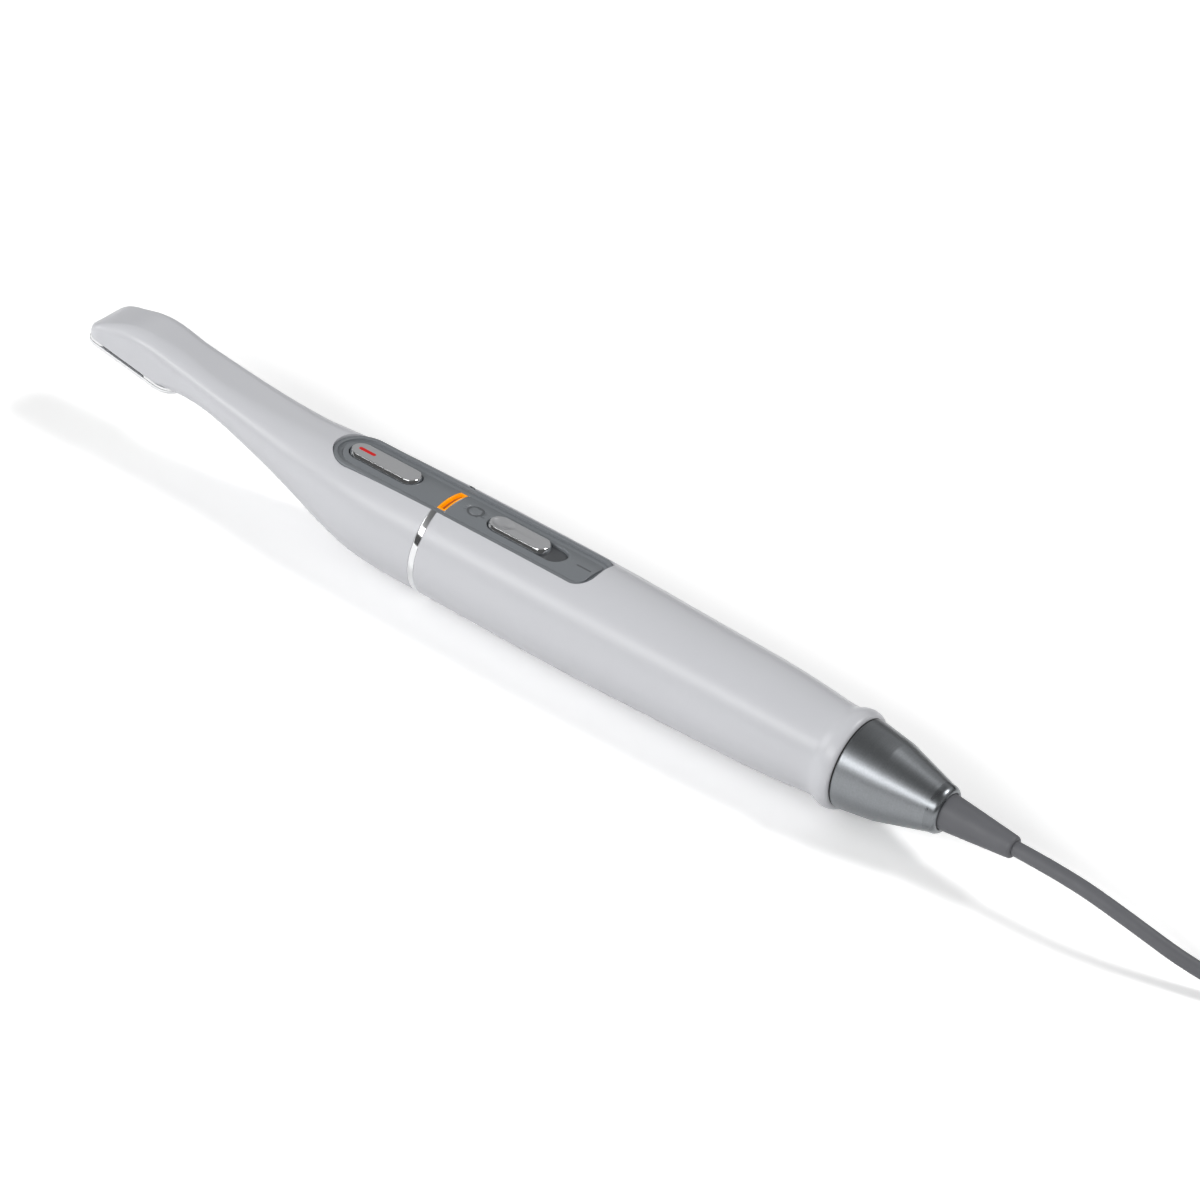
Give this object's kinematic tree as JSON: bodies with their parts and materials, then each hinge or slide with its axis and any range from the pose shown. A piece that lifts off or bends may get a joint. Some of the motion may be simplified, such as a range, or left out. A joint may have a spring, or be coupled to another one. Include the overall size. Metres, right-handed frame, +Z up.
{
  "type": "intraoral camera",
  "caption": "Intraoral camera handpiece: window head on a slim neck, grip with a deck of press button, status light and slider, screwed metal end cap, cord and plug.",
  "frame": {"origin": "under the middle of the handpiece's length, on the surface it lies on", "axes": "+X along the body from the window head to the cord, +Z up through the button deck, +Y across"},
  "size_m": [0.3724, 0.033, 0.0242],
  "materials": {
    "housing": "glossy light grey moulding",
    "trim_chrome": "polished plating",
    "deck_grey": "satin mid grey",
    "seal_rubber": "matte black",
    "button_grey": "satin top with a bright plated edge",
    "mark_red": "glossy red inlay",
    "lamp_amber": "clear amber light pipe",
    "window_glass": "clear and polished",
    "circuit_green": "solder mask",
    "lamp_white": "clear lamp packages",
    "parts_black": "matte black moulding",
    "sensor_face": "dark glass lid",
    "flex_amber": "polyimide film",
    "chassis_plastic": "glass-filled moulding",
    "connector_plastic": "natural nylon",
    "screw_steel": "plain steel",
    "collar_brass": "turned",
    "cap_metal": "gunmetal with turning lines and polished ends",
    "cord_rubber": "matte grey jacket",
    "tie_fabric": "woven strap",
    "plug_nickel": "nickel plating on folded sheet"
  },
  "bodies": {
    "handpiece": {"front_housing": "housing", "rear_housing": "housing", "joint_ring": "trim_chrome", "window_bezel": "trim_chrome", "button_panel": "deck_grey", "panel_gasket": "seal_rubber", "cap_seal": "seal_rubber", "status_light": "lamp_amber", "window_glass": "window_glass", "lens_glass": "window_glass", "led_board": "circuit_green", "sensor_board": "circuit_green", "main_board": "circuit_green", "leds": "lamp_white", "status_led": "lamp_white", "lens_barrel": "parts_black", "optics_carrier": "parts_black", "board_chips": "parts_black", "tact_switch": "parts_black", "slide_switch": "parts_black", "plug_tongue": "parts_black", "image_sensor": "sensor_face", "sensor_flex": "flex_amber", "chassis": "chassis_plastic", "cord_clamp": "chassis_plastic", "wire_connector": "connector_plastic", "board_screws": "screw_steel", "threaded_collar": "collar_brass", "end_cap": "cap_metal", "strain_relief": "cord_rubber", "inner_lead": "cord_rubber", "cord_run": "cord_rubber", "cord_hank": "cord_rubber", "plug_overmould": "cord_rubber", "cord_tie": "tie_fabric", "plug_shell": "plug_nickel"},
    "capture_button": {"capture_button": "button_grey", "capture_mark": "mark_red", "switch_plunger": "parts_black"},
    "power_slider": {"power_slider": "button_grey", "slider_lever": "parts_black"}
  },
  "joints": [
    {"name": "capture_press", "type": "slide", "parent": "handpiece", "child": "capture_button", "axis": [0.0105, 0, -0.9999], "range_m": [0, 0.0005], "stiffness_N_per_m": 1500},
    {"name": "power_slide", "type": "slide", "parent": "handpiece", "child": "power_slider", "axis": [0.9999, 0, 0.0105], "range_m": [0, 0.0038]}
  ]
}
